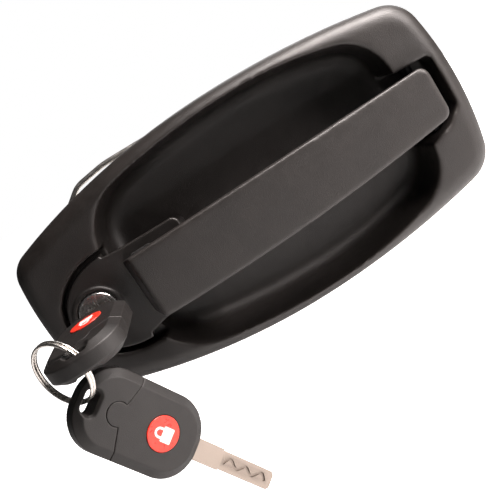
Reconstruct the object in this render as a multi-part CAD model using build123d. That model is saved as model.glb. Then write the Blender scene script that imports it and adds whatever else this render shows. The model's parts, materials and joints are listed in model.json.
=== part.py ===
from build123d import *
from math import cos, radians, sin, sqrt, tan
import os

# Exterior car door handle with its lock cylinder, two keys and a split ring.
# Frame: +X along the handle towards the grip's pivot, +Z up as fitted, +Y into the door.
# The plane y = 0 is the door skin, where the back of the seal rests. The origin is halfway
# between the two mounting studs. Millimetres.

# ---- housing outline: a barrel with two different long arcs and four round corners
CENTRE_Z = 1.2
HALF_HEIGHT = 48.25
LEFT_END = -98.4
RIGHT_END = 99.6
APEX_X = 7.2
SEAL_THICK = 1.0
WALL = 2.5
CROWN_HEIGHT = 13.0
CROWN_RADIUS = 900.0
CROWN_CENTRE_X = 6.0
EDGE_ROUND = 7.5

# ---- bowl, pocket and lock recess sunk into the housing
BOWL_LEFT = -60.5
BOWL_RIGHT = 77.3
BOWL_HALF_HEIGHT = 43.7
BOWL_APEX_X = 15.0
BOWL_FLOOR_Y = 13.0
BOWL_DRAFT = 8.0
POCKET_FLOOR_Y = 10.0
RECESS_CENTRE = (-60.2, -2.0)
RECESS_RX = 28.6
RECESS_RZ = 22.3
RECESS_FLOOR_Y = -2.0
RECESS_WALL = 3.4
FRONT_CLEAR_Y = -20.0

# ---- grip
PIVOT_X = 84.0
PIVOT_Y = 3.0
PIVOT_PIN_R = 2.5
GRIP_LEFT = -54.0
GRIP_RIGHT = 87.4
GRIP_TOP_Z = 14.2
GRIP_LOW_Z = -13.2
GRIP_DRAFT = 8.0
GRIP_BULGE = 1.6
GRIP_EDGE_ROUND = 1.2
GRIP_FACE_LEFT_Y = -30.0
GRIP_FACE_RIGHT_Y = -18.5
GRIP_FOOT_Y = -10.4
GRIP_WALL = 2.6
ARM_X = -42.0
ARM_Z = -6.6
ARM_WIDTH = 7.0
ARM_THICK = 5.0

# ---- lock carrier, a plateau round the lock with a tongue under the grip
CARRIER_TOP_Y = -9.4
CARRIER_PLATE = 3.0
TONGUE_END_X = -25.7
TONGUE_TOP_Z = 15.7
TONGUE_LOW_Z = -17.5
SKIRT_SET_IN = 3.2
CARRIER_GAP = 2.2

# ---- lock cylinder
LOCK_X = -73.4
LOCK_Z = -1.8
PLUG_R = 6.45
PLUG_BORE_R = 6.5
BARREL_R = 10.5
FLANGE_R = 12.0
BARREL_BACK_Y = 22.0
CAM_Y = 24.0
CAM_THICK = 2.5
CAM_REACH = 14.0
KEYWAY_WIDE = 8.8
KEYWAY_HIGH = 2.5

# ---- lock rod
ROD_R = 1.25
ROD_Y = 34.0
ROD_TOP_Z = 44.6

# ---- release lever and rear bracket
BRACKET_Y = 19.5
BRACKET_THICK = 2.0
LEVER_Y = 30.0
LEVER_Z = 25.4
LEVER_REACH = 26.0
LEVER_REST_ANGLE = 20.0
LEVER_PIN_R = 2.5
LEVER_OUT_REACH = 16.0
TIP_R = 3.0
HOOK_PLAY = 0.8
EAR_LEFT_X = -53.5
EAR_RIGHT_X = -31.5
EAR_THICK = 2.0

# ---- mounting studs
STUD_X = 84.0
STUD_Z = 27.0
STUD_R = 3.0
STUD_HEAD_R = 4.2
STUD_BOSS_R = 5.4
STUD_SEAL_R = 4.8
STUD_END_Y = 22.0

# ---- keys: local frame with the origin in the ring slot, +X towards the blade, +Z the badge face
HEAD_LONG = 54.0
HEAD_WIDE = 32.0
HEAD_THICK = 10.0
HEAD_CORNER = 14.5
HEAD_BEVEL = 2.4
SLOT_TO_RING_END = 4.6
SLOT_LONG = 9.0
SLOT_WIDE = 5.4
BADGE_FROM_SLOT = 31.8
BADGE_R = 6.8
PART_LINE_FROM_SLOT = 12.4
PART_LINE_LEAN = 16.0
TAB_FROM_SLOT = 11.6
TAB_R = 4.6
BLADE_LONG = 39.6
SHANK_LONG = 13.0
SHANK_WIDE = 8.5
BLADE_WIDE = 7.4
BLADE_THICK = 2.2
BLADE_ROOT = 8.0
KEY_HEAD_STANDOFF = 17.6

# ---- split ring
RING_R = 12.7
RING_WIRE_R = 0.65
RING_PITCH = 1.36
RING_CENTRE = (-83.56, -60.09, -3.46)
RING_NORMAL = (0.588, 0.808, 0.038)
KEY_2_SLOT = (-83.2, -59.36, -16.36)
KEY_2_AXIS = (0.356, 0.3376, -0.8714)
KEY_2_FACE = (0.5381, -0.8364, -0.1043)

FROM_FRONT = Plane(origin=(0, 0, 0), x_dir=(1, 0, 0), z_dir=(0, -1, 0))


def from_y(face, y_front, y_back):
    """Extrude a face drawn on XZ between two depths."""
    plane = FROM_FRONT.offset(-y_back)
    return extrude(plane * face, amount=y_back - y_front)


def rod_y(x, z, radius, y_front, y_back):
    """Round bar along Y."""
    return from_y(Pos(x, z) * Circle(radius), y_front, y_back)


def bar(x_low, x_high, y_low, y_high, z_low, z_high):
    """Box between two corners."""
    centre = ((x_low + x_high) / 2, (y_low + y_high) / 2, (z_low + z_high) / 2)
    return Pos(*centre) * Box(x_high - x_low, y_high - y_low, z_high - z_low)


def rod_x(y, z, radius, x_low, x_high):
    """Round bar along X."""
    turned = Rot(0, 90, 0) * Cylinder(radius, x_high - x_low)
    return Pos((x_low + x_high) / 2, y, z) * turned


def rod_z(x, y, radius, z_low, z_high):
    """Round bar along Z."""
    return Pos(x, y, (z_low + z_high) / 2) * Cylinder(radius, z_high - z_low)


def barrel_face(left, right, half_height, apex_x, long_radii, end_radii, corners):
    """Barrel-shaped face: each long side is two arcs that meet level at the apex."""
    edges_x = []
    for end, toward, long_r, end_r in (
        (left, 1.0, long_radii[0], end_radii[0]),
        (right, -1.0, long_radii[1], end_radii[1]),
    ):
        x = end
        for _ in range(8):
            z = half_height - long_r + sqrt(long_r**2 - (x - apex_x) ** 2)
            x = end + toward * (end_r - sqrt(end_r**2 - z**2))
        edges_x.append((x, z))
    (xl, zl), (xr, zr) = edges_x
    top = (apex_x, half_height)
    low = (apex_x, -half_height)
    outline = [
        RadiusArc((xl, zl), top, long_radii[0]),
        RadiusArc(top, (xr, zr), long_radii[1]),
        ThreePointArc((xr, zr), (right, 0), (xr, -zr)),
        RadiusArc((xr, -zr), low, long_radii[1]),
        RadiusArc(low, (xl, -zl), long_radii[0]),
        ThreePointArc((xl, -zl), (left, 0), (xl, zl)),
    ]
    face = make_face(Wire(outline))
    left_corners = face.vertices().sort_by(Axis.X)[:2]
    face = fillet(left_corners, corners[0])
    right_corners = face.vertices().filter_by(lambda v: abs(v.X - xr) < 0.01)
    return fillet(right_corners, corners[1])


def housing_face(inset=0.0):
    """Outline of the housing, moved inwards by an inset."""
    return Pos(0, CENTRE_Z) * barrel_face(
        LEFT_END + inset,
        RIGHT_END - inset,
        HALF_HEIGHT - inset,
        APEX_X,
        (311.0 - inset, 386.0 - inset),
        (142.0 - inset, 141.0 - inset),
        (12.0 - inset, 15.0 - inset),
    )


def crown_y(x):
    """Depth of the housing's front surface at x."""
    return (x - CROWN_CENTRE_X) ** 2 / (2 * CROWN_RADIUS) - CROWN_HEIGHT


def crowned_block(inset, back_y):
    """Solid under the crowned front of the housing, moved inwards by an inset."""
    block = from_y(housing_face(inset), -CROWN_HEIGHT - 2, back_y)
    radius = CROWN_RADIUS - inset
    centre_y = CROWN_RADIUS - CROWN_HEIGHT
    crown = rod_z(CROWN_CENTRE_X, centre_y, radius, -60, 60)
    block = block & crown
    front_edges = block.edges().filter_by(lambda e: e.center().Y < -4 and abs(e.center().Z) < 60)
    front_edges = front_edges.filter_by(lambda e: e.bounding_box().max.Y < -3)
    return fillet(front_edges, EDGE_ROUND - inset)


def bowl_solid(grow=0.0):
    """Space of the bowl, from in front of the housing to its floor."""
    face = Pos(0, CENTRE_Z) * barrel_face(
        BOWL_LEFT - grow,
        BOWL_RIGHT + grow,
        BOWL_HALF_HEIGHT + grow,
        BOWL_APEX_X,
        (300.0 + grow, 165.0 + grow),
        (120.0 + grow, 200.0 + grow),
        (26.0 + grow, 21.0 + grow),
    )
    mouth_y = -11.0
    floor_y = BOWL_FLOOR_Y + grow
    mouth = from_y(face, FRONT_CLEAR_Y, mouth_y)
    plane = FROM_FRONT.offset(-mouth_y)
    well = extrude(plane * face, amount=-(floor_y - mouth_y), taper=BOWL_DRAFT)
    floor_edges = well.faces().sort_by(Axis.Y)[-1].edges()
    well = fillet(floor_edges, 7.0 + grow)
    return mouth + well


def pocket_solid(grow=0.0):
    """Space that the pivot end of the grip drops into."""
    corners = [(66, 16.6), (92.9, 15.2), (93.2, -7.5), (86.5, -13.2), (76, -16.3), (66, -16.5)]
    face = make_face(Polyline(*corners, close=True))
    right = face.vertices().filter_by(lambda v: v.X > 80)
    face = fillet(right, 3.0)
    if grow:
        face = offset(face, grow)
    return from_y(face, FRONT_CLEAR_Y, POCKET_FLOOR_Y + grow)


def recess_solid(grow=0.0, below=0.0):
    """Oval space round the lock, wider and deeper where it stands for its own walls."""
    face = Pos(*RECESS_CENTRE) * Ellipse(RECESS_RX + grow, RECESS_RZ + grow)
    return from_y(face, FRONT_CLEAR_Y, RECESS_FLOOR_Y + below)


def arm_window():
    """Slot that the grip's arm passes through, as wide as its swing needs."""
    return bar(ARM_X - 8.2, ARM_X + 5.2, -12, 24, ARM_Z - 4.0, ARM_Z + 4.0)


def bracket_screw_places():
    """Centres of the bracket screws on XZ."""
    return [(-46, -25), (-10, -25), (-10, 24)]


def make_housing():
    """Crowned outer shell with the bowl, the pivot pocket and the lock recess sunk into it."""
    back_y = -SEAL_THICK
    outer = crowned_block(0.0, back_y)
    shell = outer - crowned_block(WALL, back_y + 5)
    walls = bowl_solid(WALL) + recess_solid(RECESS_WALL, WALL) + pocket_solid(WALL)
    behind = from_y(housing_face(0.5), -CROWN_HEIGHT + 6, 40)
    walls = walls & (outer + behind)
    body = shell + walls
    for side in (-1, 1):
        x, z = side * STUD_X, -side * STUD_Z
        body += rod_y(x, z, STUD_BOSS_R, crown_y(x) + WALL / 2, back_y)
    for x, z in bracket_screw_places():
        body += rod_y(x, z, 4.0, BOWL_FLOOR_Y + 1, BRACKET_Y)
    body -= bowl_solid() + recess_solid() + pocket_solid()
    body -= arm_window()
    body -= rod_y(LOCK_X, LOCK_Z, BARREL_R + 0.2, -10, 5)
    body -= rod_z(PIVOT_X, PIVOT_Y, PIVOT_PIN_R, -30, 30)
    for side in (-1, 1):
        body -= rod_y(side * STUD_X, -side * STUD_Z, STUD_HEAD_R + 0.02, -5.0, 2)
    for x, z in bracket_screw_places():
        body -= rod_y(x, z, 2.0, BOWL_FLOOR_Y + 1.2, BRACKET_Y + 1)
    return body


def make_seal():
    """Flat rubber seal between the housing's rim and the door skin."""
    ring = from_y(housing_face(0.5), -SEAL_THICK, 0) - from_y(housing_face(5.0), -SEAL_THICK - 1, 1)
    for side in (-1, 1):
        ring -= rod_y(side * STUD_X, -side * STUD_Z, STUD_SEAL_R, -SEAL_THICK - 1, 1)
    return ring - bowl_solid(WALL + 0.1) - pocket_solid(WALL + 0.1)


def lobe_face():
    """Oval part of the lock carrier that fills the lock recess up to a narrow groove."""
    lobe = Pos(*RECESS_CENTRE) * Ellipse(RECESS_RX - CARRIER_GAP, RECESS_RZ - CARRIER_GAP)
    return lobe - Pos(BOWL_LEFT + 40, 0) * Rectangle(80, 80)


def tongue_face():
    """Part of the lock carrier that runs under the grip, widening smoothly into the lobe."""
    centre_x, centre_z = RECESS_CENTRE
    start_x = centre_x - 6.0
    share = sqrt(1 - (6.0 / (RECESS_RX - CARRIER_GAP)) ** 2)
    half = (RECESS_RZ - CARRIER_GAP) * share
    corners = [
        (start_x, centre_z + half),
        (centre_x + 8.0, TONGUE_TOP_Z + 0.5),
        (TONGUE_END_X, TONGUE_TOP_Z),
        (TONGUE_END_X, TONGUE_LOW_Z),
        (centre_x + 9.0, TONGUE_LOW_Z - 0.5),
        (start_x, centre_z - half),
    ]
    face = make_face(Polyline(*corners, close=True))
    bends = face.vertices().filter_by(lambda v: start_x + 1 < v.X < TONGUE_END_X - 1)
    face = fillet(bends, 14.0)
    ends = face.vertices().filter_by(lambda v: v.X > TONGUE_END_X - 1)
    return fillet(ends, 3.0)


def make_lock_carrier():
    """Plateau that holds the lock and guides the grip's arm."""
    plate_back = CARRIER_TOP_Y + CARRIER_PLATE
    skirt_back = BOWL_FLOOR_Y - 0.4
    body = from_y(lobe_face() + tongue_face(), CARRIER_TOP_Y, plate_back)
    body += from_y(lobe_face(), plate_back, RECESS_FLOOR_Y - 0.05)
    body += rod_y(LOCK_X, LOCK_Z, 11.0, CARRIER_TOP_Y - 0.8, CARRIER_TOP_Y)
    top_z = TONGUE_TOP_Z - SKIRT_SET_IN
    skirt = bar(-52.5, TONGUE_END_X, plate_back - 1, skirt_back, TONGUE_LOW_Z, top_z)
    skirt = fillet(skirt.edges().filter_by(Axis.Y).sort_by(Axis.X)[-2:], 3.0)
    wall = 2.2
    hollow = bar(-52.5 + wall, TONGUE_END_X - wall, plate_back, 20, TONGUE_LOW_Z + wall, top_z - wall)
    body += skirt - hollow
    body -= arm_window()
    body -= rod_y(LOCK_X, LOCK_Z, FLANGE_R + 0.2, plate_back, 5)
    return body - rod_y(LOCK_X, LOCK_Z, 9.25, -20, 5)


def make_lock_barrel():
    """Fixed body of the lock, with a flange in front and a groove for its clip."""
    body = rod_y(LOCK_X, LOCK_Z, FLANGE_R, CARRIER_TOP_Y + CARRIER_PLATE + 0.05, -4.0)
    body += rod_y(LOCK_X, LOCK_Z, BARREL_R, -4.0, BARREL_BACK_Y)
    body -= rod_y(LOCK_X, LOCK_Z, 11.0, 0.7, 2.0) - rod_y(LOCK_X, LOCK_Z, 9.4, 0, 3)
    body -= rod_y(LOCK_X, LOCK_Z, PLUG_BORE_R, -8, 30)
    return body


def make_lock_o_ring():
    """Rubber ring under the barrel's flange."""
    ring = Torus(11.3, 0.7)
    return Pos(LOCK_X, -3.0, LOCK_Z) * Rot(90, 0, 0) * ring


def make_lock_clip():
    """Spring-steel fork pushed into the barrel's groove behind the housing."""
    face = Pos(LOCK_X, LOCK_Z) * (Circle(13.5) - Circle(9.6))
    face -= Pos(LOCK_X + 17.0, LOCK_Z) * Rectangle(20, 30)
    return from_y(face, 0.78, 1.92)


def wafer_places():
    """Depths of the five wafers along the plug."""
    return [-3.0 + 4.5 * step for step in range(5)]


def make_lock_plug():
    """Turning core of the lock: keyway, wafer slots, and a flatted tail for the cam."""
    body = rod_y(LOCK_X, LOCK_Z, PLUG_R, CARRIER_TOP_Y + 0.8, 23.2)
    tail = rod_y(LOCK_X, LOCK_Z, 4.0, 23.2, 29.0)
    tail -= bar(LOCK_X - 6, LOCK_X + 6, 23, 30, LOCK_Z + 3.0, LOCK_Z + 6)
    groove = rod_y(LOCK_X, LOCK_Z, 5.0, 27.0, 27.9) - rod_y(LOCK_X, LOCK_Z, 2.6, 26, 29)
    body += tail - groove
    wide, high = KEYWAY_WIDE / 2, KEYWAY_HIGH / 2
    body -= bar(LOCK_X - wide, LOCK_X + wide, -12, 22.4, LOCK_Z - high, LOCK_Z + high)
    for y in wafer_places():
        body -= bar(LOCK_X - 4.6, LOCK_X + 4.6, y, y + 1.2, LOCK_Z - 4.2, LOCK_Z + 4.2)
    return body


def make_plug_face():
    """Chromed disc crimped over the front of the plug, with a domed rim and the key slot."""
    disc = rod_y(LOCK_X, LOCK_Z, 8.9, CARRIER_TOP_Y - 0.9, CARRIER_TOP_Y + 0.75)
    front = disc.edges().sort_by(Axis.Y)[0]
    disc = fillet(front, 0.8)
    wide, high = KEYWAY_WIDE / 2, KEYWAY_HIGH / 2
    return disc - bar(LOCK_X - wide, LOCK_X + wide, -12, 0, LOCK_Z - high, LOCK_Z + high)


def make_wafers():
    """Five brass wafers with the key through their windows."""
    wafers = []
    for y in wafer_places():
        wafer = bar(LOCK_X - 4.5, LOCK_X + 4.5, y + 0.1, y + 1.1, LOCK_Z - 4.1, LOCK_Z + 4.1)
        wafer -= bar(LOCK_X - 3.98, LOCK_X + 3.98, y - 1, y + 2, LOCK_Z - 1.3, LOCK_Z + 1.3)
        wafers.append(wafer)
    return Compound(wafers)


def make_lock_cam():
    """Arm on the plug's tail that pushes the lock rod."""
    top_z = LOCK_Z + CAM_REACH
    face = Pos(LOCK_X, LOCK_Z) * Circle(7.0) + Pos(LOCK_X, top_z) * Circle(4.0)
    face += Pos(LOCK_X, (LOCK_Z + top_z) / 2) * Rectangle(7.4, CAM_REACH)
    face -= Pos(LOCK_X, top_z) * Circle(ROD_R + 0.06)
    hole = Pos(LOCK_X, LOCK_Z) * Circle(4.05)
    hole -= Pos(LOCK_X, LOCK_Z + 3.05 + 5) * Rectangle(12, 10)
    return from_y(face - hole, CAM_Y, CAM_Y + CAM_THICK)


def make_cam_clip():
    """E-clip that holds the cam on the plug's tail."""
    face = Pos(LOCK_X, LOCK_Z) * (Circle(6.0) - Circle(2.7))
    face -= Pos(LOCK_X, LOCK_Z - 4) * Rectangle(4.6, 8)
    return from_y(face, 27.1, 27.8)


def coil(radius, wire_r, length, turns, leg):
    """Torsion spring along +Z with a straight leg at each end."""
    path = Helix(length / turns, length, radius)
    start = path @ 0
    section = Plane(origin=start, z_dir=path % 0) * Circle(wire_r)
    body = sweep(section, path=path, is_frenet=True)
    for place, side in ((0, -1), (1, 1)):
        point = path @ place
        direction = path % place
        end_plane = Plane(origin=point, z_dir=direction * side)
        body += extrude(end_plane * Circle(wire_r), amount=leg)
    return body


def make_lock_spring():
    """Torsion spring round the barrel that turns the plug back to rest."""
    spring = coil(12.0, 0.6, 6.0, 3.5, 5.0)
    return Pos(LOCK_X, 19.5, LOCK_Z) * Rot(90, 0, 20) * spring


def make_lock_rod():
    """Bent steel wire from the cam up behind the housing's top edge to the latch."""
    cam_z = LOCK_Z + CAM_REACH
    points = [
        (LOCK_X, CAM_Y - 1.0, cam_z),
        (LOCK_X, ROD_Y, cam_z),
        (LOCK_X, ROD_Y, 34.5),
        (-60.0, ROD_Y, 44.2),
        (-45.0, ROD_Y, 46.2),
        (-8.0, ROD_Y, 45.2),
        (44.0, ROD_Y, ROD_TOP_Z),
        (44.0, ROD_Y + 14.0, ROD_TOP_Z),
    ]
    path = FilletPolyline(*points, radius=[3.0, 5.0, 12.0, 40.0, 60.0, 5.0])
    section = Plane(origin=points[0], z_dir=(0, 1, 0)) * Circle(ROD_R)
    return sweep(section, path=path)


def make_rod_clip():
    """Plastic clip that keeps the rod in the cam."""
    cam_z = LOCK_Z + CAM_REACH
    body = rod_y(LOCK_X, cam_z, 3.4, CAM_Y + CAM_THICK + 0.4, CAM_Y + CAM_THICK + 3.0)
    return body - rod_y(LOCK_X, cam_z, ROD_R + 0.02, 20, 40)


def make_bracket():
    """Steel plate behind the bowl with two ears that carry the release lever."""
    back = BRACKET_Y + BRACKET_THICK
    plate = bar(EAR_LEFT_X, -4, BRACKET_Y, back, -31, 31)
    plate = fillet(plate.edges().filter_by(Axis.Y), 4.0)
    plate -= bar(ARM_X - 9.0, ARM_X + 8.0, 15, 25, ARM_Z - 5.0, 21.0)
    for x in (EAR_LEFT_X, EAR_RIGHT_X - EAR_THICK):
        ear = bar(x, x + EAR_THICK, BRACKET_Y + 1, 36.5, 15, 31)
        plate += fillet(ear.edges().filter_by(Axis.X).sort_by(Axis.Y)[-2:], 5.0)
    plate -= rod_x(LEVER_Y, LEVER_Z, LEVER_PIN_R + 0.02, -70, -20)
    for x, z in bracket_screw_places():
        plate -= rod_y(x, z, 2.2, 15, 25)
    return plate


def make_bracket_screws():
    """Three pan-head screws that hold the bracket to the housing's bosses."""
    screws = []
    back = BRACKET_Y + BRACKET_THICK
    for x, z in bracket_screw_places():
        screw = rod_y(x, z, 1.95, BOWL_FLOOR_Y + 1.6, back + 0.05)
        head = rod_y(x, z, 4.0, back + 0.05, back + 2.6)
        head = fillet(head.edges().sort_by(Axis.Y)[-1], 1.0)
        head -= bar(x - 2.2, x + 2.2, back + 1.3, back + 4, z - 0.45, z + 0.45)
        head -= bar(x - 0.45, x + 0.45, back + 1.3, back + 4, z - 2.2, z + 2.2)
        screws.append(screw + head)
    return Compound(screws)


def make_lever():
    """Release lever: hub, input arm with a round tip, and output arm with a rod hole."""
    angle = radians(LEVER_REST_ANGLE)
    tip_y = LEVER_Y + LEVER_REACH * sin(angle)
    tip_z = LEVER_Z - LEVER_REACH * cos(angle)
    out = LEVER_OUT_REACH * sqrt(0.5)
    hub = rod_x(LEVER_Y, LEVER_Z, 5.0, EAR_LEFT_X + EAR_THICK + 0.3, ARM_X + 1.5)
    plane = Plane(origin=(ARM_X - 1.5, 0, 0), x_dir=(0, 1, 0), z_dir=(1, 0, 0))
    middle = ((LEVER_Y + tip_y) / 2, (LEVER_Z + tip_z) / 2)
    arm = Pos(*middle) * Rot(0, 0, LEVER_REST_ANGLE) * Rectangle(6.0, LEVER_REACH)
    face = arm + Pos(LEVER_Y, LEVER_Z) * Circle(5.0) + Pos(tip_y, tip_z) * Circle(TIP_R)
    out_middle = Pos(LEVER_Y + out / 2, LEVER_Z + out / 2)
    face += out_middle * Rot(0, 0, 45) * Rectangle(LEVER_OUT_REACH, 6.0)
    face += Pos(LEVER_Y + out, LEVER_Z + out) * Circle(4.0)
    face -= Pos(LEVER_Y + out, LEVER_Z + out) * Circle(2.0)
    body = hub + extrude(plane * face, amount=3.0)
    body += rod_x(tip_y, tip_z, TIP_R, ARM_X - 3.5, ARM_X + 3.5)
    return body - rod_x(LEVER_Y, LEVER_Z, LEVER_PIN_R + 0.05, -70, -20)


def make_lever_pin():
    """Headed pin through the bracket's ears and the lever's hub."""
    pin = rod_x(LEVER_Y, LEVER_Z, LEVER_PIN_R, EAR_LEFT_X - 0.8, EAR_RIGHT_X + 1.2)
    head = rod_x(LEVER_Y, LEVER_Z, 3.8, EAR_RIGHT_X + 0.05, EAR_RIGHT_X + 1.6)
    return pin + head


def make_lever_spring():
    """Torsion spring on the lever's pin beside its hub."""
    spring = coil(4.2, 0.5, 5.0, 3.0, 5.5)
    return Pos(ARM_X + 2.6, LEVER_Y, LEVER_Z) * Rot(0, 90, 0) * spring


def make_pivot_pin():
    """Upright steel pin that the grip turns on."""
    return rod_z(PIVOT_X, PIVOT_Y, PIVOT_PIN_R - 0.02, -16.2, 18.0)


def make_grip_buffer():
    """Rubber pad under the free end of the grip."""
    pad = bar(-50.0, -40.0, CARRIER_TOP_Y - 0.65, CARRIER_TOP_Y - 0.02, 1.0, 12.0)
    return fillet(pad.edges().filter_by(Axis.Y), 1.5)


def grip_plan(inset=0.0):
    """Outline of the grip seen from the front."""
    left, right = GRIP_LEFT + inset, GRIP_RIGHT - inset
    low_left = (left, GRIP_LOW_Z + inset)
    low_right = (right, GRIP_LOW_Z + 4.7 + inset)
    low_middle = ((left + right) / 2, GRIP_LOW_Z - 0.2 + inset)
    top = GRIP_TOP_Z - inset
    low_edge = ThreePointArc(low_left, low_middle, low_right)
    rest = Polyline(low_right, (right, top), (left, top), low_left)
    face = make_face(Wire([low_edge] + rest.edges()))
    return fillet(face.vertices().filter_by(lambda v: v.X > 0), 4.2 - 0.5 * inset)


def space_above_grip(inset=0.0):
    """Space over the grip's top side, which slopes down towards the door."""
    run = GRIP_RIGHT - GRIP_LEFT
    rise = GRIP_FACE_RIGHT_Y - GRIP_FACE_LEFT_Y
    start = (GRIP_LEFT - 20.0, GRIP_FACE_LEFT_Y - 20.0 * rise / run, 0)
    plane = Plane(origin=start, x_dir=(-rise, run, 0), z_dir=(run, rise, 0))
    top = GRIP_TOP_Z - inset
    deep = 45.0
    low = top - deep * tan(radians(GRIP_DRAFT))
    face = make_face(Polyline((-9, top), (0, top), (deep, low), (deep, 30), (-9, 30), close=True))
    return extrude(plane * face, amount=run + 60)


def grip_side(points, bulge):
    """Side profile of the grip on XY: a bulged front face closed by straight runs."""
    left, right = points[0], points[1]
    middle = ((left[0] + right[0]) / 2, (left[1] + right[1]) / 2 - bulge)
    front = ThreePointArc(left, middle, right)
    back = Polyline(*points[1:], points[0])
    return make_face(Wire([front] + back.edges()))


def grip_envelope():
    """Outer shape of the grip without its hollow."""
    side = grip_side(
        [
            (GRIP_LEFT + 6.0, GRIP_FACE_LEFT_Y),
            (GRIP_RIGHT + 1.0, GRIP_FACE_RIGHT_Y),
            (GRIP_RIGHT + 1.0, -2.0),
            (74.0, -6.5),
            (-33.0, -13.5),
            (-36.5, GRIP_FOOT_Y),
            (GRIP_LEFT, GRIP_FOOT_Y),
        ],
        GRIP_BULGE,
    )
    tall = Pos(0, 0, -20) * extrude(side, amount=40)
    body = (tall & from_y(grip_plan(), -40, 20)) - space_above_grip()
    front = body.faces().sort_by(Axis.Y)[0]
    return fillet(front.edges().filter_by(lambda e: e.center().X > -40), GRIP_EDGE_ROUND)


def grip_hollow(shrink=0.0):
    """Hollow of the grip, open towards the door."""
    side = make_face(
        Polyline(
            (GRIP_LEFT + 7.2 + shrink, GRIP_FACE_LEFT_Y + GRIP_WALL),
            (18.0, -26.2 + GRIP_WALL),
            (72.0 - shrink, -20.6 + GRIP_WALL),
            (66.0 - shrink, -1.0),
            (GRIP_LEFT + 3.0 + shrink, -1.0),
            close=True,
        )
    )
    tall = Pos(0, 0, -20) * extrude(side, amount=40)
    inset = GRIP_WALL + shrink
    return (tall & from_y(grip_plan(inset), -40, 20)) - space_above_grip(inset)


def arm_screw_places():
    """Centres of the two screws that hold the arm in the grip."""
    return [(-32.0, -4.0), (-32.0, 6.0)]


def make_grip_shell():
    """Outer half of the pull grip with the eye of its pivot."""
    body = grip_envelope() - grip_hollow()
    body += rod_z(PIVOT_X, PIVOT_Y, 4.6, -4.6, 11.4)
    body += bar(PIVOT_X - 4.6, PIVOT_X + 2.0, -6, PIVOT_Y, -4.6, 11.4)
    for x, z in arm_screw_places():
        body += rod_y(x, z, 3.6, -27.4, -24.05)
        body -= rod_y(x, z, 1.7, -27.6, -24)
    return body - rod_z(PIVOT_X, PIVOT_Y, PIVOT_PIN_R + 0.04, -30, 30)


def make_grip_cover():
    """Rear cover that closes the hollow on the finger side."""
    side = make_face(
        Polyline(
            (GRIP_LEFT, -13.0),
            (-38.5, -13.0),
            (-32.0, -16.2),
            (66.0, -9.8),
            (66.0, -5.9),
            (-33.0, -13.4),
            (-36.5, GRIP_FOOT_Y),
            (GRIP_LEFT, GRIP_FOOT_Y),
            close=True,
        )
    )
    tall = Pos(0, 0, -20) * extrude(side, amount=40)
    body = tall & grip_hollow(0.1)
    slot = bar(ARM_X - ARM_WIDTH / 2 - 0.1, ARM_X + ARM_WIDTH / 2 + 0.1, -20, 0,
               ARM_Z - ARM_THICK / 2 - 0.1, ARM_Z + ARM_THICK / 2 + 0.1)
    return body - slot


def make_grip_arm():
    """Steel arm with a foot screwed into the grip and a hook behind the lever's tip."""
    tip_y = LEVER_Y + LEVER_REACH * sin(radians(LEVER_REST_ANGLE))
    tip_z = LEVER_Z - LEVER_REACH * cos(radians(LEVER_REST_ANGLE))
    hook_y = tip_y + TIP_R + HOOK_PLAY
    low, high = ARM_X - ARM_WIDTH / 2, ARM_X + ARM_WIDTH / 2
    low_z, high_z = ARM_Z - ARM_THICK / 2, ARM_Z + ARM_THICK / 2
    body = bar(low, high, -24.0, hook_y + 3.0, low_z, high_z)
    body += bar(low, high, hook_y, hook_y + 3.0, low_z, tip_z + 0.5)
    body += bar(low, -27.5, -24.0, -21.5, low_z + 0.6, 10.0)
    for x, z in arm_screw_places():
        body -= rod_y(x, z, 1.8, -30, -20)
    return body


def make_arm_screws():
    """Two screws through the arm's foot."""
    screws = []
    for x, z in arm_screw_places():
        head = rod_y(x, z, 3.0, -21.45, -19.6)
        head -= bar(x - 2, x + 2, -20.3, -19, z - 0.4, z + 0.4)
        screws.append(rod_y(x, z, 1.65, -27.4, -21.45) + head)
    return Compound(screws)


def make_grip_spring():
    """Torsion spring round the pivot pin under the grip's eye."""
    spring = coil(4.2, 0.6, 4.5, 3.0, 4.5)
    return Pos(PIVOT_X, PIVOT_Y, -10.1) * spring


def make_studs():
    """Two headed studs moulded into the housing's bosses."""
    studs = []
    for side in (-1, 1):
        x, z = side * STUD_X, -side * STUD_Z
        head = rod_y(x, z, STUD_HEAD_R, -4.9, -SEAL_THICK)
        studs.append(head + rod_y(x, z, STUD_R, -SEAL_THICK, STUD_END_Y))
    return Compound(studs)


def head_face(inset=0.0):
    """Outline of a key head in the key's own frame."""
    middle_x = HEAD_LONG / 2 - SLOT_TO_RING_END
    size = (HEAD_LONG - 2 * inset, HEAD_WIDE - 2 * inset)
    return Pos(middle_x, 0) * RectangleRounded(*size, HEAD_CORNER - inset)


def head_solid():
    """Whole key head with bevelled rims and the flared ring slot."""
    body = Pos(0, 0, -HEAD_THICK / 2) * extrude(head_face(), amount=HEAD_THICK)
    rims = body.edges().filter_by(lambda e: abs(abs(e.center().Z) - HEAD_THICK / 2) < 0.01)
    body = chamfer(rims, HEAD_BEVEL, 3.4)
    slot = extrude(RectangleRounded(SLOT_WIDE, SLOT_LONG, 2.0), amount=HEAD_THICK, both=True)
    body -= slot
    for side in (-1, 1):
        plane = Plane(origin=(0, 0, side * HEAD_THICK / 2), z_dir=(0, 0, -side))
        mouth = plane * RectangleRounded(SLOT_WIDE + 2.4, SLOT_LONG + 2.4, 3.0)
        body -= extrude(mouth, amount=1.2, taper=44)
    return body


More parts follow.
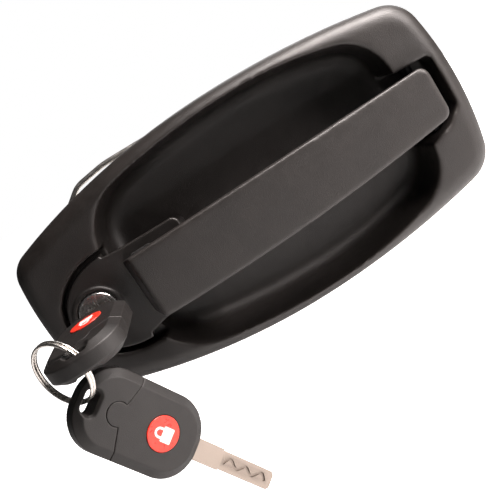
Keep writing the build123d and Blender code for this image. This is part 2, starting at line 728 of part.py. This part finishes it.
def cap_space(gap=0.0):
    """Space on the ring side of the parting line, with room for the blade side's round tab."""
    line_x = PART_LINE_FROM_SLOT - gap / 2
    far_x = line_x + 30 * tan(radians(PART_LINE_LEAN))
    corners = [(-50, -30), (far_x, -30), (line_x, 0), (far_x, 30), (-50, 30)]
    half = make_face(Polyline(*corners, close=True))
    tab = Pos(TAB_FROM_SLOT, 0) * Circle(TAB_R + gap / 2)
    return Pos(0, 0, -20) * extrude(half - tab, amount=40)


def make_key_cap():
    """Ring-side part of a key head."""
    return head_solid() & cap_space(0.1)


def make_key_body():
    """Blade-side part of a key head with seats for the blade, the badge and the transponder."""
    body = head_solid() - cap_space(-0.1)
    badge = Pos(BADGE_FROM_SLOT, 0, HEAD_THICK / 2 - 0.6) * extrude(Circle(BADGE_R + 0.05), amount=2)
    end_x = HEAD_LONG - SLOT_TO_RING_END
    blade = bar(end_x - BLADE_ROOT - 0.05, end_x + 1, -SHANK_WIDE / 2 - 0.05, SHANK_WIDE / 2 + 0.05,
                -BLADE_THICK / 2 - 0.05, BLADE_THICK / 2 + 0.05)
    return body - badge - blade - bar(20, 33, -3.1, 3.1, -1.6, 1.6)


def make_transponder():
    """Sealed immobiliser chip inside a key head."""
    return bar(20.1, 32.9, -3.0, 3.0, -1.5, 1.5)


def make_badge():
    """Round inlaid badge, very slightly domed."""
    disc = Pos(BADGE_FROM_SLOT, 0, HEAD_THICK / 2 - 0.55) * extrude(Circle(BADGE_R), amount=0.85)
    return fillet(disc.edges().sort_by(Axis.Z)[-1], 0.3)


def make_blade():
    """Flat key blade: wide shank, narrower bit with a milled track each side, bevelled tip."""
    start_x = HEAD_LONG - SLOT_TO_RING_END
    shank = bar(start_x - BLADE_ROOT, start_x + SHANK_LONG, -SHANK_WIDE / 2, SHANK_WIDE / 2,
                -BLADE_THICK / 2, BLADE_THICK / 2)
    bit = bar(start_x + SHANK_LONG, start_x + BLADE_LONG, -BLADE_WIDE / 2, BLADE_WIDE / 2,
              -BLADE_THICK / 2, BLADE_THICK / 2)
    tip = bit.edges().filter_by(Axis.Z).sort_by(Axis.X)[-2:]
    bit = chamfer(tip, 1.2)
    waves = Spline(*[(start_x + 14.6 + 3.6 * step, 1.2 if step % 2 else -1.0) for step in range(7)])
    for side in (-1, 1):
        plane = Plane(origin=waves @ 0, z_dir=waves % 0)
        cut = sweep(plane * Rectangle(1.2, 1.2), path=waves)
        bit -= Pos(0, 0, side * (BLADE_THICK / 2 + 0.1)) * cut
    return shank + bit


def key_1_place():
    """Where the inserted key's frame sits."""
    slot_y = -(KEY_HEAD_STANDOFF + HEAD_LONG - SLOT_TO_RING_END)
    return Plane(origin=(LOCK_X, slot_y, LOCK_Z), x_dir=(0, 1, 0), z_dir=(0, 0, 1))


def key_2_place():
    """Where the hanging key's frame sits."""
    return Plane(origin=KEY_2_SLOT, x_dir=KEY_2_AXIS, z_dir=KEY_2_FACE)


def make_split_ring():
    """Spring-steel split ring, a wire of two close turns."""
    length = 2 * RING_PITCH
    path = Helix(RING_PITCH, length, RING_R)
    section = Plane(origin=path @ 0, z_dir=path % 0) * Circle(RING_WIRE_R)
    ring = sweep(section, path=path, is_frenet=True)
    place = Plane(origin=RING_CENTRE, z_dir=RING_NORMAL)
    return place * Pos(0, 0, -length / 2) * ring


def build_all():
    """Every node of the handle by name."""
    nodes = {
        "housing": make_housing(),
        "seal_gasket": make_seal(),
        "mounting_studs": make_studs(),
        "lock_carrier": make_lock_carrier(),
        "lock_barrel": make_lock_barrel(),
        "lock_o_ring": make_lock_o_ring(),
        "lock_retaining_clip": make_lock_clip(),
        "lock_return_spring": make_lock_spring(),
        "lock_plug": make_lock_plug(),
        "lock_plug_face": make_plug_face(),
        "lock_wafers": make_wafers(),
        "lock_cam": make_lock_cam(),
        "lock_cam_clip": make_cam_clip(),
        "lock_rod": make_lock_rod(),
        "lock_rod_clip": make_rod_clip(),
        "rear_bracket": make_bracket(),
        "bracket_screws": make_bracket_screws(),
        "release_lever": make_lever(),
        "lever_pivot_pin": make_lever_pin(),
        "lever_return_spring": make_lever_spring(),
        "grip_shell": make_grip_shell(),
        "grip_rear_cover": make_grip_cover(),
        "grip_arm": make_grip_arm(),
        "grip_arm_screws": make_arm_screws(),
        "grip_pivot_pin": make_pivot_pin(),
        "grip_return_spring": make_grip_spring(),
        "grip_buffer": make_grip_buffer(),
        "split_ring": make_split_ring(),
    }
    key_pieces = {
        "head_body": make_key_body(),
        "head_cap": make_key_cap(),
        "badge": make_badge(),
        "blade": make_blade(),
        "transponder": make_transponder(),
    }
    for number, place in ((1, key_1_place()), (2, key_2_place())):
        for piece, shape in key_pieces.items():
            nodes[f"key_{number}_{piece}"] = place * shape
    return nodes


os.makedirs("parts", exist_ok=True)
for node_name, node_shape in build_all().items():
    export_step(node_shape, f"parts/{node_name}.step")
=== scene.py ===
import json
import math

import bmesh
import bpy
from mathutils import Matrix, Vector


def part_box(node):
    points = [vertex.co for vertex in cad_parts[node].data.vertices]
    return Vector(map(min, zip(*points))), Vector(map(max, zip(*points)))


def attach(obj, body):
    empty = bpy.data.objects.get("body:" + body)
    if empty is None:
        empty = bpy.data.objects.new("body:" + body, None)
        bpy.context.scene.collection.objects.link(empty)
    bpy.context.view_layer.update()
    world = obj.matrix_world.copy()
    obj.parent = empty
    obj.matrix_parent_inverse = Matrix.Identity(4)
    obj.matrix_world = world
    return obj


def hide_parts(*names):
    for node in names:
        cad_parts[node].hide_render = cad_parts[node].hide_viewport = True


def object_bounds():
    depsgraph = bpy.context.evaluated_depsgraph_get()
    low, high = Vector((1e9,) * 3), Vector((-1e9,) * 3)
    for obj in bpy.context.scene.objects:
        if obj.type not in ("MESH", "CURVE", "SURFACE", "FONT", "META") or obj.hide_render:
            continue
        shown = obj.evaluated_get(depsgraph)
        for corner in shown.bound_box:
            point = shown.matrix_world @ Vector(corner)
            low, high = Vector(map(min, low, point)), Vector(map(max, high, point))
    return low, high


# The car door handle: its moulded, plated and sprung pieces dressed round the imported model.
# Metres. +X runs along the handle to the grip's pivot, -Y faces the viewer, +Z is up.

MM = 0.001
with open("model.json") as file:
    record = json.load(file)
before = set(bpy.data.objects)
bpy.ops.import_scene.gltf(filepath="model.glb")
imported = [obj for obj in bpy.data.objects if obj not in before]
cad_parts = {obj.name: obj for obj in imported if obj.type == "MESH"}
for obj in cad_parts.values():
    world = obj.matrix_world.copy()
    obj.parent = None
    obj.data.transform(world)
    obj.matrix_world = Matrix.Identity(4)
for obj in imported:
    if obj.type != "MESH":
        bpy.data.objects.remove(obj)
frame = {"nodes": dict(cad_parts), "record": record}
cad_box = [list(corner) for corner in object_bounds()]
scene = bpy.context.scene


# ---------------------------------------------------------------- driving values
VIEW_TARGET = Vector((-8.7, 0.0, -14.8)) * MM
VIEW_AZIMUTH = math.radians(3.82)
VIEW_ELEVATION = math.radians(12.26)
VIEW_ROLL = math.radians(33.06)
VIEW_DISTANCE = 0.359
VIEW_LENS = 62.0
SENSOR_WIDE = 36.0

# Lights: name, place in metres (right, up, back of the picture), size in metres, watts, tint
LIGHTS = (
    ("key", (0.02, 0.38, 0.16), (0.26, 0.14), 6.0, (1.0, 0.92, 0.89)),
    ("side", (0.24, 0.26, 0.22), (0.12, 0.12), 2.0, (1.0, 0.92, 0.89)),
    ("front", (0.05, -0.20, 0.45), (0.06, 0.06), 0.2, (1.0, 0.95, 0.92)),
    ("low", (-0.25, -0.45, 0.12), (0.3, 0.12), 0.8, (1.0, 0.94, 0.91)),
    ("behind", (0.0, 0.5, -0.6), (0.6, 0.6), 3.0, (1.0, 1.0, 1.0)),
)
SURROUND_STRENGTH = 0.05
FLOOR_DROP = 12 * MM
FLOOR_REACH = 3.0

# Moulded pieces: CAD node, piece name, body, slot, voxel in millimetres, smoothing passes
MOULDINGS = (
    ("housing", "housing_shell", "root", "handle_plastic", 0.6, 24),
    ("lock_carrier", "lock_plateau", "root", "carrier_plastic", 0.4, 8),
    ("grip_shell", "pull_grip", "grip", "handle_plastic", 0.45, 30),
)
KEY_VOXEL = 0.28
KEY_PASSES = 4

# Badge face normal and blade direction of each key
KEY_AXES = {
    "key_1": ((0, 0, 1), (0, 1, 0)),
    "key_2": ((0.5381, -0.8364, -0.1043), (0.356, 0.3376, -0.8714)),
}

# Padlock mark on the badges, in millimetres
MARK_LIFT = 0.42
MARK_THICK = 0.1
CASE_HALF = 2.9
CASE_TOP = -0.6
CASE_LOW = 3.9
CASE_CORNER = 0.3
SHACKLE_CENTRE = -1.8
SHACKLE_OUTER = 2.1
SHACKLE_INNER = 1.2
SHACKLE_FOOT = -0.5
SHACKLE_STEPS = 14


# ---------------------------------------------------------------- camera and light

def view_axes():
    """Right, up and back of the picture in the row frame."""
    cos_e, sin_e = math.cos(VIEW_ELEVATION), math.sin(VIEW_ELEVATION)
    back = Vector((math.sin(VIEW_AZIMUTH) * cos_e, -math.cos(VIEW_AZIMUTH) * cos_e, sin_e))
    level = Vector((math.cos(VIEW_AZIMUTH), math.sin(VIEW_AZIMUTH), 0))
    upright = back.cross(level)
    right = level * math.cos(VIEW_ROLL) - upright * math.sin(VIEW_ROLL)
    up = level * math.sin(VIEW_ROLL) + upright * math.cos(VIEW_ROLL)
    return right, up, back


def look_along(obj, place, right, up, back):
    """Puts a camera or light at a place with its own axes."""
    turn = Matrix((right, up, back)).transposed().to_4x4()
    obj.matrix_world = Matrix.Translation(place) @ turn


def make_camera():
    """Camera at the photographed angle."""
    right, up, back = view_axes()
    data = bpy.data.cameras.new("camera")
    data.lens = VIEW_LENS
    data.sensor_width = SENSOR_WIDE
    data.clip_start = 0.01
    camera = bpy.data.objects.new("camera", data)
    scene.collection.objects.link(camera)
    look_along(camera, VIEW_TARGET + back * VIEW_DISTANCE, right, up, back)
    scene.camera = camera


def area_light(name, offset, size, power, tint):
    """Soft square light at an offset in picture axes (right, up, back), aimed at the object."""
    right, up, back = view_axes()
    place = VIEW_TARGET + right * offset[0] + up * offset[1] + back * offset[2]
    data = bpy.data.lights.new(name, "AREA")
    data.shape = "RECTANGLE"
    data.size, data.size_y = size
    data.energy = power
    data.color = tint
    light = bpy.data.objects.new(name, data)
    scene.collection.objects.link(light)
    aim = (place - VIEW_TARGET).normalized()
    side = up.cross(aim).normalized()
    look_along(light, place, side, aim.cross(side), aim)


def make_world():
    """White surround for the camera, dim grey for what the surfaces reflect."""
    world = bpy.data.worlds.new("studio")
    world.use_nodes = True
    nodes, links = world.node_tree.nodes, world.node_tree.links
    nodes.clear()
    seen = nodes.new("ShaderNodeBackground")
    seen.inputs["Color"].default_value = (1, 1, 1, 1)
    lit = nodes.new("ShaderNodeBackground")
    lit.inputs["Color"].default_value = (1.0, 0.97, 0.95, 1)
    lit.inputs["Strength"].default_value = SURROUND_STRENGTH
    path = nodes.new("ShaderNodeLightPath")
    mix = nodes.new("ShaderNodeMixShader")
    out = nodes.new("ShaderNodeOutputWorld")
    links.new(path.outputs["Is Camera Ray"], mix.inputs["Fac"])
    links.new(lit.outputs[0], mix.inputs[1])
    links.new(seen.outputs[0], mix.inputs[2])
    links.new(mix.outputs[0], out.inputs["Surface"])
    scene.world = world


def make_floor():
    """Pale floor below the hanging key."""
    low = min(corner[2] for corner in cad_box) - FLOOR_DROP
    far = FLOOR_REACH
    corners = [(-far, -far, low), (far, -far, low), (far, far, low), (-far, far, low)]
    mesh = bpy.data.meshes.new("floor")
    mesh.from_pydata(corners, [], [(0, 1, 2, 3)])
    floor = bpy.data.objects.new("floor", mesh)
    scene.collection.objects.link(floor)
    surface = Surface("floor_paint")
    tone = surface.noise(2.0, 2.0)
    surface.colour(surface.ramp(tone, (0.3, (0.92, 0.92, 0.92)), (0.7, (0.95, 0.95, 0.95))))
    surface.shader.inputs["Roughness"].default_value = 0.9
    surface.shader.inputs["Emission Color"].default_value = (1, 1, 1, 1)
    seen = surface.node("ShaderNodeLightPath").outputs["Is Camera Ray"]
    surface.link(surface.remap(seen, 0.0, 1.0, 0.03, 1.0), surface.shader.inputs["Emission Strength"])
    mesh.materials.append(surface.material)


# ---------------------------------------------------------------- materials
# Factors for the painted highlight: lighter colour on convex edges of plastic and metal
PLASTIC_EDGE_HIGHLIGHT = 1.5
METAL_EDGE_HIGHLIGHT = 1.25


class Surface:
    """Principled material with small helpers; texture places are in millimetres of the row frame."""

    def __init__(self, name):
        self.material = bpy.data.materials.new(name)
        self.material.use_nodes = True
        self.tree = self.material.node_tree
        self.shader = self.tree.nodes["Principled BSDF"]
        self.place = None

    def node(self, kind):
        return self.tree.nodes.new(kind)

    def link(self, output, socket):
        self.tree.links.new(output, socket)
        return output

    def position(self, stretch=(1, 1, 1)):
        coordinates = self.node("ShaderNodeTexCoord")
        mapping = self.node("ShaderNodeMapping")
        mapping.inputs["Scale"].default_value = [1000 * s for s in stretch]
        self.link(coordinates.outputs["Object"], mapping.inputs["Vector"])
        return mapping.outputs["Vector"]

    def noise(self, scale, detail=3.0, stretch=(1, 1, 1), rough=0.5):
        texture = self.node("ShaderNodeTexNoise")
        texture.inputs["Scale"].default_value = scale
        texture.inputs["Detail"].default_value = detail
        texture.inputs["Roughness"].default_value = rough
        self.link(self.position(stretch), texture.inputs["Vector"])
        return texture.outputs["Fac"]

    def cells(self, scale):
        texture = self.node("ShaderNodeTexVoronoi")
        texture.feature = "SMOOTH_F1"
        texture.inputs["Scale"].default_value = scale
        self.link(self.position(), texture.inputs["Vector"])
        return texture.outputs["Distance"]

    def edges(self, low, high):
        """1 on convex edges, 0 elsewhere."""
        geometry = self.node("ShaderNodeNewGeometry")
        return self.remap(geometry.outputs["Pointiness"], low, high, 0.0, 1.0)

    def remap(self, value, low, high, to_low, to_high):
        spread = self.node("ShaderNodeMapRange")
        sockets = ("From Min", "From Max", "To Min", "To Max")
        for socket, number in zip(sockets, (low, high, to_low, to_high)):
            spread.inputs[socket].default_value = number
        self.link(value, spread.inputs["Value"])
        return spread.outputs["Result"]

    def ramp(self, value, *stops):
        ramp = self.node("ShaderNodeValToRGB")
        self.link(value, ramp.inputs["Fac"])
        while len(ramp.color_ramp.elements) < len(stops):
            ramp.color_ramp.elements.new(0.5)
        for element, (place, tint) in zip(ramp.color_ramp.elements, stops):
            element.position = place
            element.color = (*tint, 1)
        return ramp.outputs["Color"]

    def mix(self, amount, first, second):
        mixer = self.node("ShaderNodeMix")
        mixer.data_type = "RGBA"
        self.link(amount, mixer.inputs["Factor"])
        for value, socket in ((first, mixer.inputs[6]), (second, mixer.inputs[7])):
            if isinstance(value, tuple):
                socket.default_value = (*value, 1)
            else:
                self.link(value, socket)
        return mixer.outputs[2]

    def sum(self, first, second, share):
        maths = self.node("ShaderNodeMath")
        maths.operation = "MULTIPLY_ADD"
        self.link(second, maths.inputs[0])
        maths.inputs[1].default_value = share
        self.link(first, maths.inputs[2])
        return maths.outputs[0]

    def colour(self, output):
        self.link(output, self.shader.inputs["Base Color"])

    def roughness(self, output):
        self.link(output, self.shader.inputs["Roughness"])

    def bump(self, height, depth_mm, strength=1.0):
        bump = self.node("ShaderNodeBump")
        bump.inputs["Strength"].default_value = strength
        bump.inputs["Distance"].default_value = depth_mm * MM
        self.link(height, bump.inputs["Height"])
        self.link(bump.outputs["Normal"], self.shader.inputs["Normal"])

    def set(self, **values):
        for name, value in values.items():
            self.shader.inputs[name.replace("_", " ")].default_value = value


def moulded_plastic(name, dark, light, rough, grain=3.2, depth=0.05):
    """Spark-eroded moulded plastic: fine grain, slow tone variation, and a painted highlight that
    gives convex edges a lighter colour.
    """
    surface = Surface(name)
    slow = surface.noise(0.06, 4.0)
    fine = surface.noise(grain * 1.7, 2.0)
    tone = surface.sum(slow, fine, 0.35)
    body = surface.ramp(tone, (0.45, dark), (0.95, light))
    # Painted highlight: convex edges get a lighter colour than the grained body
    edge_highlight = surface.edges(0.505, 0.56)
    highlight_colour = tuple(min(1.0, c * PLASTIC_EDGE_HIGHLIGHT) for c in light)
    surface.colour(surface.mix(edge_highlight, body, highlight_colour))
    gloss = surface.sum(surface.noise(0.25, 5.0), surface.noise(grain, 2.0), 0.5)
    surface.roughness(surface.remap(gloss, 0.4, 1.1, rough - 0.07, rough + 0.08))
    grains = surface.sum(surface.cells(grain), surface.noise(grain * 2.3, 2.0), 0.6)
    surface.bump(grains, depth)
    surface.set(IOR=1.5)
    return surface.material


def rubber(name):
    """Dull black rubber with mould bloom."""
    surface = Surface(name)
    bloom = surface.noise(0.4, 5.0)
    surface.colour(surface.ramp(bloom, (0.35, (0.012, 0.012, 0.012)), (0.75, (0.03, 0.03, 0.029))))
    surface.roughness(surface.remap(bloom, 0.3, 0.7, 0.75, 0.9))
    surface.bump(surface.noise(6.0, 3.0), 0.04)
    return surface.material


def metal(name, dark, light, rough, grain=(1, 1, 1), scale=1.5, depth=0.01):
    """Bare or plated metal with drawn or tumbled grain, and a painted highlight that makes convex
    edges brighter.
    """
    surface = Surface(name)
    lines = surface.noise(scale, 4.0, grain)
    slow = surface.noise(0.15, 4.0)
    tone = surface.sum(lines, slow, 0.7)
    body = surface.ramp(tone, (0.5, dark), (1.15, light))
    # Painted highlight: convex edges get a brighter colour
    edge_highlight = surface.edges(0.51, 0.58)
    surface.colour(surface.mix(edge_highlight, body, tuple(min(1.0, c * METAL_EDGE_HIGHLIGHT) for c in light)))
    surface.roughness(surface.remap(tone, 0.5, 1.1, rough - 0.06, rough + 0.1))
    surface.bump(lines, depth)
    surface.set(Metallic=1.0)
    return surface.material


def chrome(name):
    """Bright plating with faint wipe marks."""
    surface = Surface(name)
    wiped = surface.noise(0.8, 4.0, (1, 1, 0.3))
    surface.colour(surface.ramp(wiped, (0.3, (0.74, 0.73, 0.72)), (0.7, (0.86, 0.85, 0.84))))
    surface.roughness(surface.remap(wiped, 0.3, 0.7, 0.2, 0.3))
    surface.bump(surface.noise(0.5, 3.0), 0.01)
    surface.set(Metallic=1.0)
    return surface.material


def gloss(name, dark, light, rough):
    """Glossy moulded or printed surface."""
    surface = Surface(name)
    tone = surface.noise(0.5, 4.0)
    surface.colour(surface.ramp(tone, (0.3, dark), (0.75, light)))
    surface.roughness(surface.remap(tone, 0.3, 0.7, rough - 0.05, rough + 0.08))
    surface.bump(surface.noise(0.6, 2.0), 0.01)
    surface.set(IOR=1.5)
    return surface.material


MATERIALS = {
    "handle_plastic": moulded_plastic(
        "handle_grain", (0.0055, 0.0042, 0.0036), (0.0105, 0.0084, 0.0074), 0.46
    ),
    "carrier_plastic": moulded_plastic(
        "carrier_grain", (0.0045, 0.0036, 0.0032), (0.008, 0.0065, 0.0058), 0.44
    ),
    "key_plastic": moulded_plastic(
        "key_grain", (0.004, 0.0031, 0.0027), (0.0075, 0.0061, 0.0055), 0.52, 3.6, 0.04
    ),
    "rubber": rubber("seal_rubber"),
    "plated_steel": metal("zinc_plate", (0.36, 0.35, 0.33), (0.62, 0.61, 0.58), 0.36),
    "screw_steel": metal("screw_plate", (0.34, 0.34, 0.34), (0.6, 0.6, 0.6), 0.3),
    "spring_steel": metal("spring_wire", (0.2, 0.2, 0.21), (0.42, 0.42, 0.43), 0.32),
    "die_cast": metal("zinc_casting", (0.34, 0.34, 0.35), (0.55, 0.55, 0.56), 0.45, depth=0.03),
    "chrome": chrome("lock_chrome"),
    "brass": metal("wafer_brass", (0.5, 0.34, 0.12), (0.78, 0.58, 0.26), 0.35),
    "bright_wire": metal("drawn_wire", (0.42, 0.41, 0.39), (0.66, 0.64, 0.61), 0.3, (0.2, 1, 1)),
    "clip_plastic": gloss("rod_clip_nylon", (0.05, 0.05, 0.05), (0.09, 0.09, 0.085), 0.4),
    "ring_steel": metal("ring_nickel", (0.44, 0.42, 0.39), (0.72, 0.69, 0.65), 0.24),
    "badge_red": gloss("badge_enamel", (0.52, 0.022, 0.012), (0.64, 0.042, 0.022), 0.3),
    "blade_metal": metal(
        "nickel_silver", (0.15, 0.125, 0.106), (0.25, 0.213, 0.184), 0.4, scale=2.5
    ),
    "chip_plastic": gloss("chip_case", (0.02, 0.02, 0.022), (0.035, 0.035, 0.04), 0.3),
}
BADGE_WHITE = gloss("badge_mark", (0.62, 0.58, 0.55), (0.74, 0.7, 0.67), 0.35)
BLACK_OXIDE = metal("black_oxide", (0.012, 0.012, 0.013), (0.03, 0.03, 0.032), 0.5)
DARK_NODES = ("grip_pivot_pin", "grip_return_spring")


# ---------------------------------------------------------------- shaping helpers
def link(obj):
    scene.collection.objects.link(obj)
    return obj


def finished(obj, name, body, slot, nodes=(), material=None, smooth=True):
    """Names a new piece, gives it its finish and body, and lets it stand for its CAD nodes."""
    obj.name = name
    obj.data.name = name
    obj.data.materials.clear()
    obj.data.materials.append(material or MATERIALS[slot])
    for polygon in getattr(obj.data, "polygons", []):
        polygon.use_smooth = smooth
    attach(obj, body)
    if nodes:
        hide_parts(*nodes)
    return obj


def applied(obj):
    """Mesh object with all of an object's modifiers applied; the original is removed."""
    graph = bpy.context.evaluated_depsgraph_get()
    mesh = bpy.data.meshes.new_from_object(obj.evaluated_get(graph))
    bpy.data.objects.remove(obj)
    return link(bpy.data.objects.new("applied", mesh))


def moulded(node, voxel_mm, passes):
    """Rounded copy of a CAD node: fine even quads, with every edge softened as a mould leaves it."""
    copy = link(bpy.data.objects.new("copy", frame["nodes"][node].data.copy()))
    remesh = copy.modifiers.new("quads", "REMESH")
    remesh.mode = "VOXEL"
    remesh.voxel_size = voxel_mm * MM
    smooth = copy.modifiers.new("soften", "SMOOTH")
    smooth.factor = 0.5
    smooth.iterations = passes
    return applied(copy)


def dress_cad_nodes():
    """Gives every CAD node its procedural finish."""
    slots = {part["node"]: part["material_slot"] for part in frame["record"]["subparts"]}
    for name, obj in frame["nodes"].items():
        obj.data.materials.clear()
        obj.data.materials.append(BLACK_OXIDE if name in DARK_NODES else MATERIALS[slots[name]])


def padlock_outlines():
    """Outlines of the padlock's case and shackle."""
    near, far = CASE_TOP + CASE_CORNER, CASE_LOW - CASE_CORNER
    half, low_half = CASE_HALF, CASE_HALF - CASE_CORNER
    case = [(near, -half), (far, -half), (CASE_LOW, -low_half), (CASE_LOW, low_half)]
    case += [(far, half), (near, half), (CASE_TOP, low_half), (CASE_TOP, -low_half)]
    turns = [math.pi * step / SHACKLE_STEPS for step in range(SHACKLE_STEPS + 1)]
    bow = {
        radius: [(SHACKLE_CENTRE - radius * math.sin(t), radius * math.cos(t)) for t in turns]
        for radius in (SHACKLE_OUTER, SHACKLE_INNER)
    }
    shackle = [(SHACKLE_FOOT, SHACKLE_OUTER), *bow[SHACKLE_OUTER], (SHACKLE_FOOT, -SHACKLE_OUTER)]
    shackle += [(SHACKLE_FOOT, -SHACKLE_INNER), *reversed(bow[SHACKLE_INNER])]
    shackle += [(SHACKLE_FOOT, SHACKLE_INNER)]
    return case, shackle


def add_plate(shapes, outline):
    """Adds a thin flat plate with an outline given in millimetres."""
    low = [shapes.verts.new((x * MM, y * MM, 0)) for x, y in outline]
    high = [shapes.verts.new((x * MM, y * MM, MARK_THICK * MM)) for x, y in outline]
    shapes.faces.new(list(reversed(low)))
    shapes.faces.new(high)
    for i in range(len(outline)):
        j = (i + 1) % len(outline)
        shapes.faces.new((low[i], low[j], high[j], high[i]))
    bmesh.ops.recalc_face_normals(shapes, faces=shapes.faces)


def badge_mark(key, face, axis):
    """Raised padlock pictogram on a key's badge."""
    low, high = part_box(f"{key}_badge")
    centre = (Vector(low) + Vector(high)) / 2
    normal = Vector(face).normalized()
    along = Vector(axis).normalized()
    across = normal.cross(along)
    shapes = bmesh.new()
    for outline in padlock_outlines():
        add_plate(shapes, outline)
    mesh = bpy.data.meshes.new("mark")
    shapes.to_mesh(mesh)
    shapes.free()
    turn = Matrix((along, across, normal)).transposed().to_4x4()
    mesh.transform(Matrix.Translation(centre + normal * MARK_LIFT * MM) @ turn)
    mark = link(bpy.data.objects.new("mark", mesh))
    name = f"{key}_badge_mark"
    return finished(mark, name, key, "badge_red", material=BADGE_WHITE, smooth=False)


# ---------------------------------------------------------------- the scene
scene.view_settings.view_transform = "Standard"
make_camera()
make_world()
make_floor()
for light in LIGHTS:
    area_light(*light)

dress_cad_nodes()
for node, name, body, slot, voxel_mm, passes in MOULDINGS:
    finished(moulded(node, voxel_mm, passes), name, body, slot, [node])
for key in KEY_AXES:
    for piece in ("head_body", "head_cap"):
        node = f"{key}_{piece}"
        shape = moulded(node, KEY_VOXEL, KEY_PASSES)
        finished(shape, f"{node}_moulding", key, "key_plastic", [node])
for key, (face, axis) in KEY_AXES.items():
    badge_mark(key, face, axis)
